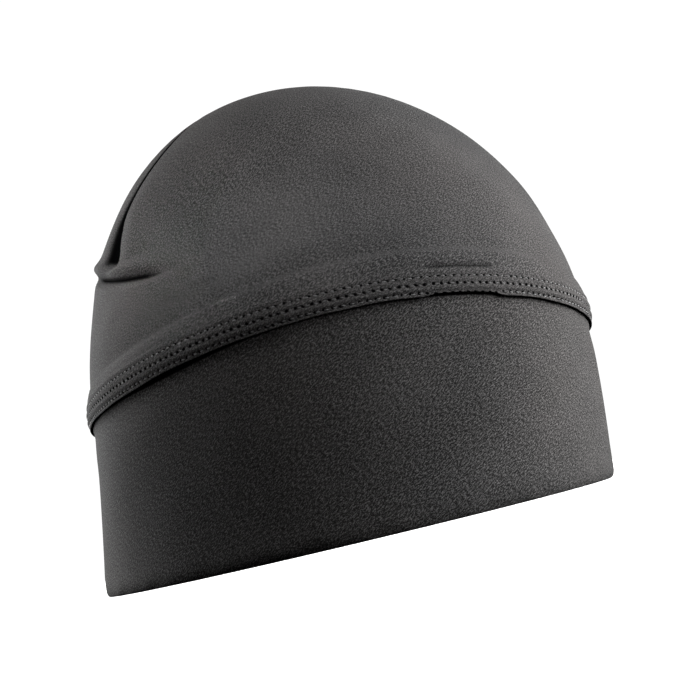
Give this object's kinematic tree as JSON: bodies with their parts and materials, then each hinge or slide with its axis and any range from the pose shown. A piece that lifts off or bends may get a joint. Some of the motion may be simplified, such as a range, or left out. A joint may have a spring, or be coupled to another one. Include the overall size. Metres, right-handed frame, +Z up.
{
  "type": "beanie",
  "caption": "Close-fitting stretch-cloth cap: a dome with a seam over the top that ends in a dart at each side, sewn by a raised hem to a deep folded band, open below for a head.",
  "frame": {"origin": "centre of the bounding box, on the plane that the rim rests on", "axes": "+Z up through the top of the dome, -Y the front, +Y the back, the two darts at -X and +X"},
  "size_m": [0.1824, 0.197, 0.1604],
  "materials": {
    "crown_cloth": "matt charcoal brushed stretch knit with a faint sheen at a grazing angle",
    "band_cloth": "the same charcoal stretch knit, folded double and drawn smooth"
  },
  "bodies": {
    "root": {"crown": "crown_cloth", "band": "band_cloth"}
  },
  "joints": []
}
